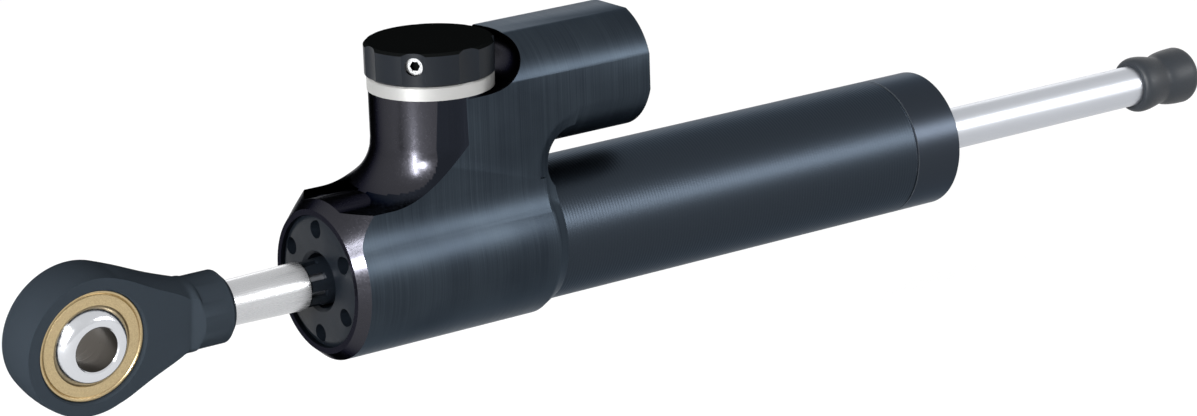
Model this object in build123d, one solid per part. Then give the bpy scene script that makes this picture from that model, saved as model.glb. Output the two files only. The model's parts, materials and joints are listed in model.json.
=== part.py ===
from build123d import *
import os
from math import cos, pi, radians, sin, sqrt

# Linear steering damper for a motorcycle, modelled piece by piece.
# X runs along the damper from the rod-end eye to the rubber bumper, Z runs up the
# adjuster knob, and the origin is the centre of the ball in the rod-end eye.
# All sizes are in millimetres.

# Fits shared by every pair of pieces
RUNNING_GAP = 0.04      # radial gap where one piece turns or slides in another
STATIC_GAP = 0.02       # radial gap where a round piece is seated for good
LOOSE_GAP = 0.3         # gap between a moving piece and what it passes
CUT_OVERRUN = 4.0       # how far a cutting tool runs past the metal

# Rod-end eye and its spherical bearing
BORE_R = 5.0            # bolt hole through the ball
BALL_R = 9.95
BALL_HALF_WIDTH = 7.1
BALL_SHOULDER_R = 2.6   # rounding between the ball's flat side and the sphere
BALL_BORE_CHAMFER = 0.3
RACE_OUTER_R = 12.6
RACE_HALF_WIDTH = 4.66
RACE_SEAT_HALF_WIDTH = 4.3
RACE_MOUTH_CHAMFER = 0.15
RACE_RIM_CHAMFER = 0.25
RACE_GROOVE_INSET = 0.9     # fine groove in the race's face, this far inside its edge
RACE_GROOVE_DEPTH = 0.25
RACE_GROOVE_WIDTH = 0.5
EYE_HALF_THICKNESS = 5.6
EYE_FACE_R = 15.6       # edge of the flat face
EYE_HEAD_R = 16.05      # middle of the slightly crowned rim
EYE_MOUTH_CHAMFER = 0.4
EYE_ROLL = 7.43         # how far the eye is rolled about the rod, in degrees
EYE_SHANK_R = 8.1
EYE_SHANK_END_X = 34.3
EYE_SHANK_CHAMFER = 1.3
EYE_THREAD_DEPTH = 14.0

# The neck between head and shank: station, half height of the flat, half height at the rim
NECK_START_X = 6.3      # where the straight neck leaves the round head
NECK_SECTIONS = (
    (13.7, 10.75, 12.3),
    (18.4, 8.6, 10.4),
    (21.3, 7.2, 9.4),
    (23.4, 5.8, 8.7),
)
# The run-out of the flats: station, half thickness, half height of the flat, half height at the rim
RUNOUT_SECTIONS = (
    (24.2, 5.9, 5.8, 8.5),
    (25.1, 7.1, 5.8, 8.3),
)
NECK_ROUND_X = 25.9     # where the neck has become the round shank

# Rod and what sits on it
ROD_R = 5.0
ROD_STUD_R = 4.0        # turned-down end that passes through collar and sleeve
ROD_SHOULDER_X = 62.7
ROD_END_X = 313.0
SLEEVE_R = 5.0
SLEEVE_FAR_R = 5.4
SLEEVE_END_X = 54.6
SLEEVE_CHAMFER = 0.35
COLLAR_R = 5.0
COLLAR_FAR_R = 5.3
COLLAR_SLOT_LENGTH = 3.9
COLLAR_SLOT_WIDTH = 1.5
COLLAR_SLOTS = 8
COLLAR_SLOT_ANGLE = 14.0
COLLAR_GAP = 0.15
PISTON_X = 180.0
PISTON_LENGTH = 14.0
PISTON_CLEARANCE = 0.35
PISTON_RING_WIDTH = 5.0
PISTON_RING_DEPTH = 1.6
PISTON_CLIP_R = 7.2
PISTON_CLIP_WIDTH = 1.2
PISTON_CLIP_GROOVE = 0.6
BUMPER_START_X = 301.6
BUMPER_END_X = 320.0
BUMPER_MOUTH_R = 5.9
BUMPER_LIP_R = 6.9
BUMPER_LIP_X = 304.2
BUMPER_WAIST_R = 5.95
BUMPER_WAIST_X = 309.6
BUMPER_FLARE_R = 7.0
BUMPER_FLARE_X = 317.6
BUMPER_END_R = 4.9

# Tubes
TUBE_R = 16.0
TUBE_WALL = 2.0
TUBE_START_X = 88.0
TUBE_END_X = 217.8
TUBE_EDGE = 0.25
TUBE_THREAD_DEPTH = 0.4     # the tube is turned down this much where it screws into the housing
LINER_SPACE = 1.5       # oil space between the tube and the liner
LINER_WALL = 1.5
LINER_START_X = 86.0
LINER_END_X = 212.0
LINER_PORTS = 4
LINER_PORT_R = 1.5
LINER_PORT_X = 202.0

# Rear cap at the bumper end of the tube
REAR_CAP_END_X = 231.3
REAR_CAP_CHAMFER = 0.5
REAR_SPIGOT_X = 206.0
SEAM_WIDTH = 0.5
SEAM_DEPTH = 0.45

# Housing, one billet: lower cylinder, block, adjuster turret and barrel
HOUSING_START_X = 59.2
HOUSING_WALL = 2.0      # how far the housing stands proud of the tube
HOUSING_LIP = 1.9       # height of the nose's bevel on the round underside
NOSE_SLOPE = 1.18       # bevel of the nose, length over height
FRONT_BORE_STEP = 1.2   # how much smaller than the tube the front bore is
COLLAR_END_X = 115.3
COLLAR_TAPER_LENGTH = 3.9
COLLAR_LIP = 0.25
BLOCK_HALF_WIDTH = 13.9
BLOCK_ROOF = 0.6        # how far the block's top lies above the tube
SIDE_BLEND_R = 16.0     # hollow that leads each flat side onto the round underside
TURRET_X = 91.2
TURRET_RISE = 3.3       # top of the turret above the barrel's axis
COVE_R = 11.0
NOTCH_R = 5.6           # round groove that clears the knob
NOTCH_CENTRE_R = 14.3
NOTCH_RISE = 5.0        # centre of that groove above the turret's top
WEB_ARC_X = 121.3
WEB_ARC_Z = 18.3
WEB_ARC_R = 11.8
WEB_ARC_EDGE = 2.0      # width of the tapered band along the web's right end
WEB_ARC_STEP = 3.9
BARREL_R = 14.5
BARREL_SLOT = 4.6       # clear height between the tube and the barrel
BARREL_FLAT_HEIGHT = 13.35  # top flat above the barrel's axis
BARREL_END_X = 141.3
BARREL_CHAMFER = 0.35

# Bores and oil ways inside the housing
TURRET_BORE_R = 8.0
TURRET_FLOOR_WALL = 3.0     # metal between the tube and the turret's bore
BARREL_WALL = 3.5
BARREL_BORE_START_X = 113.0
OIL_WAY_R = 1.5
TUBE_WAY_X = 93.5
FRONT_WAY_X = 84.5
COMPENSATOR_WAY_DROP = 6.1  # oil way to the compensator below the barrel's axis

# Front cap and rod guides
FRONT_CAP_RECESS = 0.2
FRONT_CAP_LENGTH = 10.6
FRONT_CAP_BEVEL = 1.8
FRONT_CAP_BEVEL_LENGTH = 0.9
FRONT_CAP_HOLE_R = 6.2
FRONT_CAP_HOLE_CHAMFER = 0.7
PIN_HOLE_R = 2.0
PIN_HOLE_DEPTH = 4.0
PIN_CIRCLE_R = 11.8
PIN_HOLES = 6
PIN_FIRST_ANGLE = 30.0
GUIDE_SPIGOT_LENGTH = 5.0
BUSH_WALL = 1.5
FRONT_BUSH_LENGTH = 6.5
REAR_BUSH_LENGTH = 10.0
SEAL_WALL = 2.5         # metal between a rod seal and the size of the liner's bore
SEAL_LENGTH = 3.2
WIPER_WALL = 3.0
WIPER_LENGTH = 2.6
WIPER_LIP = 0.6
CHAMBER_WALL = 2.4
GALLERY_WIDTH = 4.0
GALLERY_DEPTH = 1.6
O_RING_CORD_R = 0.9

# Adjuster: valve cartridge in the turret, index ring, knob, spindle and needle
RING_R = 14.1
RING_HEIGHT = 3.1
RING_RECESS_WALL = 3.9
RING_RECESS_DEPTH = 1.7
RING_EDGE = 0.35
INDEX_CLICKS = 20
INDEX_R = 12.0
INDEX_BALL_R = 1.0
INDEX_DIMPLE_DEPTH = 0.4    # how deep the ball sits in a dimple
INDEX_TRACK_GAP = 0.06      # the track between dimples clears the resting ball by this much
INDEX_SPRING_R = 0.8
KNOB_R = 14.5
KNOB_HEIGHT = 7.4
KNOB_EDGE = 0.6
KNOB_BASE_EDGE = 0.4
KNOB_FLUTES = 7
KNOB_FLUTE_R = 8.6
KNOB_FLUTE_DEPTH = 0.7
KNOB_FLUTE_ANGLE = -138.5
KNOB_RECESS_R = 10.4
KNOB_RECESS_DEPTH = 1.5
KNOB_RAISE = 0.1        # the knob turns this far above the index ring
KNOB_ROOF = 2.2
SET_SCREW_DROP = 3.0    # set screw below the knob's top
SET_SCREW_R = 2.0
SET_SCREW_DEPTH = 0.9
SET_SCREW_SOCKET_R = 1.15
SET_SCREW_SOCKET_DEPTH = 1.5
SET_SCREW_CONE = 1.0
SPINDLE_R = 3.0
SPINDLE_SHOULDER_R = 4.4
SPINDLE_SHOULDER_LENGTH = 1.6
SPINDLE_THREAD_R = 1.6
SPINDLE_REACH = 3.0     # how far the spindle's thread enters the needle's head
CARTRIDGE_HEAD_DROP = 0.2   # top of the cartridge's head below the index ring's top
CARTRIDGE_BORE_R = 5.0
CARTRIDGE_FLAT = 4.3    # half distance between the flats that keep the needle from turning
SEAT_LENGTH = 3.2
SEAT_HOLE_R = 1.5
NEEDLE_HEAD_RISE = 4.0  # underside of the needle's head above the seat
NEEDLE_HEAD_LENGTH = 5.8
NEEDLE_STEM_R = 1.4
NEEDLE_TIP_R = 0.4
NEEDLE_TIP_DROP = 2.0   # how far the needle's tip reaches into the seat
NEEDLE_CONE_LENGTH = 4.0
NEEDLE_PITCH = 1.5      # needle travel for one turn of the knob

# Temperature compensator in the barrel
COMP_PISTON_X = 117.0
COMP_PISTON_LENGTH = 8.0
COMP_PISTON_WALL = 1.6
PLUG_LENGTH = 6.0
PLUG_FLANGE_STEP = 1.0
PLUG_FLANGE_LENGTH = 1.5
PLUG_PIN_INSET = 4.0
PLUG_PIN_R = 1.6
PLUG_PIN_DEPTH = 3.0
SPRING_WIRE_R = 0.8
SPRING_INSET = 2.7      # from the barrel's bore to the wire, past the floating piston's skirt
SPRING_COILS = 3

# Sizes that follow from the ones above
BALL_SEAT_R = BALL_R + RUNNING_GAP
TUBE_BORE_R = TUBE_R - TUBE_WALL
LINER_R = TUBE_BORE_R - LINER_SPACE
LINER_BORE_R = LINER_R - LINER_WALL
SEAL_R = LINER_BORE_R - SEAL_WALL
WIPER_R = LINER_BORE_R - WIPER_WALL
CHAMBER_R = LINER_BORE_R - CHAMBER_WALL
HOUSING_R = TUBE_R + HOUSING_WALL
HOUSING_LIP_R = HOUSING_R - HOUSING_LIP
FRONT_BORE_R = TUBE_R - FRONT_BORE_STEP
BLOCK_TOP_Z = TUBE_R + BLOCK_ROOF
BARREL_Z = TUBE_R + BARREL_SLOT + BARREL_R
BARREL_TOP_Z = BARREL_Z + BARREL_FLAT_HEIGHT
BARREL_BORE_R = BARREL_R - BARREL_WALL
COMPENSATOR_WAY_Z = BARREL_Z - COMPENSATOR_WAY_DROP
TURRET_TOP_Z = BARREL_Z + TURRET_RISE
TURRET_BORE_FLOOR_Z = TUBE_R + TURRET_FLOOR_WALL
NOTCH_CENTRE_Z = TURRET_TOP_Z + NOTCH_RISE
RING_TOP_Z = TURRET_TOP_Z + RING_HEIGHT
RING_BORE_R = TURRET_BORE_R + STATIC_GAP
RING_RECESS_R = RING_R - RING_RECESS_WALL
KNOB_LOW_Z = RING_TOP_Z + KNOB_RAISE
KNOB_TOP_Z = KNOB_LOW_Z + KNOB_HEIGHT
SET_SCREW_Z = KNOB_TOP_Z - SET_SCREW_DROP
CARTRIDGE_HEAD_R = RING_RECESS_R - LOOSE_GAP
CARTRIDGE_HEAD_TOP_Z = RING_TOP_Z - CARTRIDGE_HEAD_DROP
SEAT_TOP_Z = TURRET_BORE_FLOOR_Z + SEAT_LENGTH
NEEDLE_TIP_Z = SEAT_TOP_Z - NEEDLE_TIP_DROP
NEEDLE_BODY_LOW_Z = SEAT_TOP_Z + NEEDLE_HEAD_RISE
NEEDLE_TOP_Z = NEEDLE_BODY_LOW_Z + NEEDLE_HEAD_LENGTH
SPINDLE_LOW_Z = NEEDLE_TOP_Z - SPINDLE_REACH
PISTON_R = LINER_BORE_R - PISTON_CLEARANCE
PLUG_START_X = BARREL_END_X - PLUG_LENGTH
PLUG_FLANGE_R = BARREL_BORE_R + PLUG_FLANGE_STEP
PLUG_PIN_CIRCLE_R = BARREL_BORE_R - PLUG_PIN_INSET
FRONT_CAP_FACE_X = HOUSING_START_X + FRONT_CAP_RECESS
FRONT_GUIDE_X = FRONT_CAP_FACE_X + FRONT_CAP_LENGTH
FRONT_GUIDE_END_X = LINER_START_X + GUIDE_SPIGOT_LENGTH
TURRET = Location((TURRET_X, 0, 0))


def round_x(radius, start, end, y=0, z=0):
    """A plain cylinder along X between two stations."""
    seat = Plane((start, y, z), x_dir=(0, 1, 0), z_dir=(1, 0, 0))
    return seat * extrude(Circle(radius), end - start)


def round_z(radius, low, high, x=0, y=0):
    """A plain cylinder along Z between two heights."""
    return Location((x, y, low)) * extrude(Circle(radius), high - low)


def turned_x(points):
    """A piece turned about X from an outline of (x, radius) points."""
    outline = Plane.XZ * make_face(Polyline(*points, close=True))
    return revolve(outline, Axis.X)


def turned_y(points):
    """A piece turned about Y from an outline of (radius, y) points."""
    return revolve(make_face(Polyline(*points, close=True)), Axis.Y)


def slab(low, high):
    """A box from its lowest to its highest corner."""
    size = [high[i] - low[i] for i in range(len(low))]
    centre = [(high[i] + low[i]) / 2 for i in range(len(low))]
    return Location(tuple(centre)) * Box(*size)


def ring_of_x(tool, count, first_angle):
    """Copies of a tool turned about X, the first one at the given angle from +Y."""
    return [Rot(first_angle + copy * 360 / count, 0, 0) * tool for copy in range(count)]


def o_ring_x(inner_radius, x):
    """A rubber ring about X that fills the groove it lies in."""
    path_r = inner_radius + O_RING_CORD_R
    section = Location((x, 0, path_r)) * (Plane.XZ * Circle(O_RING_CORD_R - STATIC_GAP))
    return revolve(section, Axis.X)


def o_ring_groove_x(outer_radius, x):
    """The square groove for such a ring, cut into a piece of the given radius."""
    floor_r = outer_radius - 2 * O_RING_CORD_R
    start = x - O_RING_CORD_R
    end = x + O_RING_CORD_R
    return round_x(outer_radius + CUT_OVERRUN, start, end) - round_x(floor_r, start, end)


# Rod-end eye

def in_eye_roll(shape):
    """Turn a piece from the eye's own upright position to its roll about the rod."""
    return Rot(EYE_ROLL, 0, 0) * shape


def bearing_ball():
    """Polished ball: a sphere with two flat sides, rounded shoulders and a bolt hole."""
    ball = Sphere(BALL_R) & Box(4 * BALL_R, 2 * BALL_HALF_WIDTH, 4 * BALL_R)
    sides = ball.edges().group_by(Axis.Y)
    ball = fillet(sides[0] + sides[-1], BALL_SHOULDER_R)
    mouth_r = BORE_R + BALL_BORE_CHAMFER
    wall_end = BALL_HALF_WIDTH - BALL_BORE_CHAMFER
    bore = turned_y((
        (0, -BALL_HALF_WIDTH), (mouth_r, -BALL_HALF_WIDTH), (BORE_R, -wall_end),
        (BORE_R, wall_end), (mouth_r, BALL_HALF_WIDTH), (0, BALL_HALF_WIDTH),
    ))
    return in_eye_roll(ball - bore)


def bearing_race():
    """Brass race: a ring with a spherical seat and a fine groove in each face."""
    throat_r = sqrt(BALL_SEAT_R ** 2 - RACE_SEAT_HALF_WIDTH ** 2)
    mouth_r = throat_r + RACE_MOUTH_CHAMFER
    rim_r = RACE_OUTER_R - RACE_RIM_CHAMFER
    rim_y = RACE_HALF_WIDTH - RACE_RIM_CHAMFER
    groove_r = RACE_OUTER_R - RACE_GROOVE_INSET
    groove_in = groove_r - RACE_GROOVE_WIDTH / 2
    groove_out = groove_r + RACE_GROOVE_WIDTH / 2
    groove_y = RACE_HALF_WIDTH - RACE_GROOVE_DEPTH
    half = (
        (throat_r, RACE_SEAT_HALF_WIDTH), (mouth_r, RACE_HALF_WIDTH), (groove_in, RACE_HALF_WIDTH),
        (groove_r, groove_y), (groove_out, RACE_HALF_WIDTH), (rim_r, RACE_HALF_WIDTH),
        (RACE_OUTER_R, rim_y),
    )
    mirrored = [(radius, -y) for radius, y in reversed(half)]
    seat = ThreePointArc(
        (throat_r, -RACE_SEAT_HALF_WIDTH), (BALL_SEAT_R, 0), (throat_r, RACE_SEAT_HALF_WIDTH)
    )
    return in_eye_roll(revolve(make_face(Polyline(*half, *mirrored) + seat), Axis.Y))


def neck_section(x, thickness, flat, rim):
    """Section of the eye's neck: two flats joined by two bulging rims."""
    plane = Plane((x, 0, 0), x_dir=(0, 1, 0), z_dir=(1, 0, 0))
    outline = (
        Line((-thickness, flat), (-thickness, -flat))
        + ThreePointArc((-thickness, -flat), (0, -rim), (thickness, -flat))
        + Line((thickness, -flat), (thickness, flat))
        + ThreePointArc((thickness, flat), (0, rim), (-thickness, flat))
    )
    return plane * make_face(outline)


def bulged_section(x, waist, thickness, flat, rim):
    """Section where the flats have begun to swell towards the round shank."""
    plane = Plane((x, 0, 0), x_dir=(0, 1, 0), z_dir=(1, 0, 0))
    outline = (
        ThreePointArc((-thickness, flat), (-waist, 0), (-thickness, -flat))
        + ThreePointArc((-thickness, -flat), (0, -rim), (thickness, -flat))
        + ThreePointArc((thickness, -flat), (waist, 0), (thickness, flat))
        + ThreePointArc((thickness, flat), (0, rim), (-thickness, flat))
    )
    return plane * make_face(outline)


def eye_neck():
    """Forged neck: flats that narrow from the head, then swell into the round shank."""
    head_flat = sqrt(EYE_FACE_R ** 2 - NECK_START_X ** 2)
    head_rim = sqrt(EYE_HEAD_R ** 2 - NECK_START_X ** 2)
    stations = ((NECK_START_X, head_flat, head_rim),) + NECK_SECTIONS
    flats = [neck_section(x, EYE_HALF_THICKNESS, flat, rim) for x, flat, rim in stations]
    last_x, last_flat, last_rim = NECK_SECTIONS[-1]
    corner = EYE_SHANK_R * sin(pi / 4)
    swell = EYE_HALF_THICKNESS + RUNNING_GAP
    blend = [bulged_section(last_x, swell, EYE_HALF_THICKNESS, last_flat, last_rim)]
    for x, waist, flat, rim in RUNOUT_SECTIONS:
        thickness = waist * EYE_HALF_THICKNESS / (EYE_HALF_THICKNESS + (waist - EYE_HALF_THICKNESS) / 2)
        blend.append(bulged_section(x, waist, thickness, flat, rim))
    blend.append(bulged_section(NECK_ROUND_X, EYE_SHANK_R, corner, corner, EYE_SHANK_R))
    return loft(flats) + loft(blend)


def rod_end_eye():
    """Forged steel eye with a crowned rim, flat faces and a threaded round shank."""
    rim = ThreePointArc(
        (EYE_FACE_R, EYE_HALF_THICKNESS), (EYE_HEAD_R, 0), (EYE_FACE_R, -EYE_HALF_THICKNESS)
    )
    face = Polyline(
        (EYE_FACE_R, -EYE_HALF_THICKNESS), (0, -EYE_HALF_THICKNESS),
        (0, EYE_HALF_THICKNESS), (EYE_FACE_R, EYE_HALF_THICKNESS),
    )
    head = revolve(make_face(rim + face), Axis.Y)
    shank = turned_x((
        (NECK_ROUND_X, 0), (NECK_ROUND_X, EYE_SHANK_R),
        (EYE_SHANK_END_X - EYE_SHANK_CHAMFER, EYE_SHANK_R),
        (EYE_SHANK_END_X, EYE_SHANK_R - EYE_SHANK_CHAMFER), (EYE_SHANK_END_X, 0),
    ))
    eye = head + eye_neck() + shank
    seat_r = RACE_OUTER_R + STATIC_GAP
    mouth_r = seat_r + EYE_MOUTH_CHAMFER
    wall_end = EYE_HALF_THICKNESS - EYE_MOUTH_CHAMFER
    eye -= turned_y((
        (0, -EYE_HALF_THICKNESS), (mouth_r, -EYE_HALF_THICKNESS), (seat_r, -wall_end),
        (seat_r, wall_end), (mouth_r, EYE_HALF_THICKNESS), (0, EYE_HALF_THICKNESS),
    ))
    thread = round_x(ROD_STUD_R + STATIC_GAP, EYE_SHANK_END_X - EYE_THREAD_DEPTH, EYE_SHANK_END_X)
    return in_eye_roll(eye - thread)


# Rod and the pieces on it

def rod():
    """Ground rod, turned down to a stud at the eye end and grooved for the piston clips."""
    stud_start = EYE_SHANK_END_X - EYE_THREAD_DEPTH + LOOSE_GAP
    bar = turned_x((
        (stud_start, 0), (stud_start, ROD_STUD_R), (ROD_SHOULDER_X, ROD_STUD_R),
        (ROD_SHOULDER_X, ROD_R), (ROD_END_X, ROD_R), (ROD_END_X, 0),
    ))
    for start in clip_stations():
        groove_r = ROD_R - PISTON_CLIP_GROOVE
        end = start + PISTON_CLIP_WIDTH
        bar -= round_x(ROD_R + CUT_OVERRUN, start, end) - round_x(groove_r, start, end)
    return bar


def clip_stations():
    """Where the two clips that hold the piston begin."""
    return (PISTON_X - PISTON_LENGTH / 2 - PISTON_CLIP_WIDTH, PISTON_X + PISTON_LENGTH / 2)


def rod_piston():
    """Piston on the rod, grooved for its ring."""
    start = PISTON_X - PISTON_LENGTH / 2
    end = PISTON_X + PISTON_LENGTH / 2
    body = round_x(PISTON_R, start, end) - round_x(ROD_R + STATIC_GAP, start, end)
    half = PISTON_RING_WIDTH / 2
    groove_r = LINER_BORE_R - PISTON_RING_DEPTH - RUNNING_GAP
    tool = round_x(PISTON_R + CUT_OVERRUN, PISTON_X - half, PISTON_X + half)
    return body - (tool - round_x(groove_r, PISTON_X - half, PISTON_X + half))


def piston_ring():
    """Low-friction ring that rides in the piston's groove and wipes the liner."""
    half = PISTON_RING_WIDTH / 2 - RUNNING_GAP
    inner_r = LINER_BORE_R - PISTON_RING_DEPTH
    ring = round_x(LINER_BORE_R - RUNNING_GAP, PISTON_X - half, PISTON_X + half)
    return ring - round_x(inner_r, PISTON_X - half, PISTON_X + half)


def piston_clips():
    """The two spring clips that hold the piston on the rod."""
    clips = []
    inner_r = ROD_R - PISTON_CLIP_GROOVE + STATIC_GAP
    for start in clip_stations():
        end = start + PISTON_CLIP_WIDTH
        clip = round_x(PISTON_CLIP_R, start, end) - round_x(inner_r, start, end)
        gap_low = (start - CUT_OVERRUN, -PISTON_CLIP_WIDTH, 0)
        gap_high = (end + CUT_OVERRUN, PISTON_CLIP_WIDTH, PISTON_CLIP_R + CUT_OVERRUN)
        clips.append(clip - slab(gap_low, gap_high))
    return Compound(clips)


def rod_sleeve():
    """Polished sleeve that spaces the slotted collar from the eye."""
    start = EYE_SHANK_END_X
    inner_r = ROD_STUD_R + STATIC_GAP
    return turned_x((
        (start, inner_r), (start, SLEEVE_R - SLEEVE_CHAMFER), (start + SLEEVE_CHAMFER, SLEEVE_R),
        (SLEEVE_END_X - SLEEVE_CHAMFER, SLEEVE_FAR_R), (SLEEVE_END_X, SLEEVE_FAR_R - SLEEVE_CHAMFER),
        (SLEEVE_END_X, inner_r),
    ))


def slotted_collar():
    """Black stop collar, slotted from its eye end, that locates in the front cap."""
    start = SLEEVE_END_X + COLLAR_GAP
    inner_r = ROD_STUD_R + STATIC_GAP
    collar = turned_x((
        (start, inner_r), (start, COLLAR_R), (ROD_SHOULDER_X, COLLAR_FAR_R), (ROD_SHOULDER_X, inner_r),
    ))
    half = COLLAR_SLOT_WIDTH / 2
    slot = slab(
        (start - CUT_OVERRUN, 0, -half), (start + COLLAR_SLOT_LENGTH, COLLAR_FAR_R + CUT_OVERRUN, half)
    )
    return collar - ring_of_x(slot, COLLAR_SLOTS, COLLAR_SLOT_ANGLE)


def rubber_bumper():
    """Rubber bumper on the rod's tail: a lip, a waist and a flared rounded end."""
    wall_x = BUMPER_START_X
    flank = (
        Line((wall_x, ROD_R + STATIC_GAP), (wall_x, BUMPER_MOUTH_R))
        + Spline(
            (wall_x, BUMPER_MOUTH_R), (BUMPER_LIP_X, BUMPER_LIP_R), (BUMPER_WAIST_X, BUMPER_WAIST_R),
            (BUMPER_FLARE_X, BUMPER_FLARE_R), tangents=((1, 2), (1, 0)),
        )
        + ThreePointArc(
            (BUMPER_FLARE_X, BUMPER_FLARE_R),
            ((BUMPER_FLARE_X + 3 * BUMPER_END_X) / 4, (BUMPER_FLARE_R + BUMPER_END_R) / 2),
            (BUMPER_END_X, BUMPER_END_R),
        )
        + Line((BUMPER_END_X, BUMPER_END_R), (BUMPER_END_X, 0))
        + Line((BUMPER_END_X, 0), (ROD_END_X + STATIC_GAP, 0))
        + Line((ROD_END_X + STATIC_GAP, 0), (ROD_END_X + STATIC_GAP, ROD_R + STATIC_GAP))
        + Line((ROD_END_X + STATIC_GAP, ROD_R + STATIC_GAP), (wall_x, ROD_R + STATIC_GAP))
    )
    return revolve(Plane.XZ * make_face(flank), Axis.X)


# Tubes and rod guides

def main_tube():
    """Outer tube, turned down where it screws into the housing, with one oil hole."""
    tube = round_x(TUBE_R - TUBE_THREAD_DEPTH, TUBE_START_X, COLLAR_END_X)
    tube += turned_x((
        (COLLAR_END_X, 0), (COLLAR_END_X, TUBE_R), (TUBE_END_X - TUBE_EDGE, TUBE_R),
        (TUBE_END_X, TUBE_R - TUBE_EDGE), (TUBE_END_X, 0),
    ))
    tube -= round_x(TUBE_BORE_R, TUBE_START_X, TUBE_END_X)
    return tube - round_z(OIL_WAY_R, 0, TUBE_R, TUBE_WAY_X)


def inner_liner():
    """Honed liner in which the piston runs, ported at its far end."""
    liner = round_x(LINER_R, LINER_START_X, LINER_END_X)
    liner -= round_x(LINER_BORE_R, LINER_START_X, LINER_END_X)
    port = Location((LINER_PORT_X, 0, 0)) * (Rot(90, 0, 0) * Cylinder(LINER_PORT_R, 3 * LINER_R))
    liner -= ring_of_x(port, LINER_PORTS // 2, 90 / LINER_PORTS)
    return liner


def front_cap():
    """Threaded front cap with a bevelled edge and a ring of pin-spanner holes."""
    start = FRONT_CAP_FACE_X
    end = start + FRONT_CAP_LENGTH
    full_r = FRONT_BORE_R - STATIC_GAP
    cap = turned_x((
        (start, FRONT_CAP_HOLE_R + FRONT_CAP_HOLE_CHAMFER), (start, full_r - FRONT_CAP_BEVEL),
        (start + FRONT_CAP_BEVEL_LENGTH, full_r), (end, full_r), (end, FRONT_CAP_HOLE_R),
        (start + FRONT_CAP_HOLE_CHAMFER, FRONT_CAP_HOLE_R),
    ))
    hole = round_x(PIN_HOLE_R, start, start + PIN_HOLE_DEPTH, PIN_CIRCLE_R)
    return cap - ring_of_x(hole, PIN_HOLES, PIN_FIRST_ANGLE)


def front_guide():
    """Rod guide behind the front cap, with seats for wiper, seal, bush and O-ring."""
    start = FRONT_GUIDE_X
    full_r = FRONT_BORE_R - STATIC_GAP
    guide = round_x(full_r, start, LINER_START_X)
    guide += round_x(LINER_BORE_R - STATIC_GAP, LINER_START_X, FRONT_GUIDE_END_X)
    guide -= round_x(ROD_R + LOOSE_GAP, start, FRONT_GUIDE_END_X)
    guide -= round_x(WIPER_R, start, start + WIPER_LENGTH)
    seal_start = front_seal_x()
    guide -= round_x(SEAL_R, start, seal_start + SEAL_LENGTH)
    bush_start = front_bush_x()
    guide -= round_x(ROD_R + BUSH_WALL + STATIC_GAP, bush_start, FRONT_GUIDE_END_X)
    guide -= round_x(CHAMBER_R, bush_start + FRONT_BUSH_LENGTH, FRONT_GUIDE_END_X)
    guide -= o_ring_groove_x(full_r, front_o_ring_x())
    gallery_start = FRONT_WAY_X - GALLERY_WIDTH / 2
    gallery_end = FRONT_WAY_X + GALLERY_WIDTH / 2 - OIL_WAY_R
    guide -= round_x(full_r + CUT_OVERRUN, gallery_start, gallery_end) - round_x(
        full_r - GALLERY_DEPTH, gallery_start, gallery_end
    )
    port_x = (gallery_start + gallery_end) / 2
    port = Location((port_x, 0, 0)) * (Rot(90, 0, 0) * Cylinder(OIL_WAY_R / 2, 3 * full_r))
    guide -= ring_of_x(port, 2, 0)
    return guide


def front_seal_x():
    """Start of the front rod seal, behind the wiper."""
    return FRONT_GUIDE_X + WIPER_LENGTH


def front_bush_x():
    """Start of the front bush, behind the rod seal."""
    return front_seal_x() + SEAL_LENGTH


def front_o_ring_x():
    """Station of the front guide's O-ring."""
    return front_bush_x() + FRONT_BUSH_LENGTH / 2


def bush(start, length):
    """Plain bush that the rod runs in."""
    end = start + length
    return round_x(ROD_R + BUSH_WALL, start, end) - round_x(ROD_R + RUNNING_GAP, start, end)


def rod_seal(start, outer_r, length):
    """Ring of rubber round the rod, with a lip that leans on it."""
    lip_r = ROD_R + STATIC_GAP
    end = start + length - STATIC_GAP
    begin = start + STATIC_GAP
    return turned_x((
        (begin, lip_r), (begin, lip_r + WIPER_LIP), (begin + WIPER_LIP, outer_r - STATIC_GAP),
        (end, outer_r - STATIC_GAP), (end, lip_r + WIPER_LIP), (end - WIPER_LIP, lip_r),
    ))


def rear_seal_x():
    """Start of the rear rod seal, inside the wiper."""
    return REAR_CAP_END_X - WIPER_LENGTH - SEAL_LENGTH


def rear_bush_x():
    """Start of the rear bush, inside the rear seal."""
    return rear_seal_x() - REAR_BUSH_LENGTH


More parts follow.
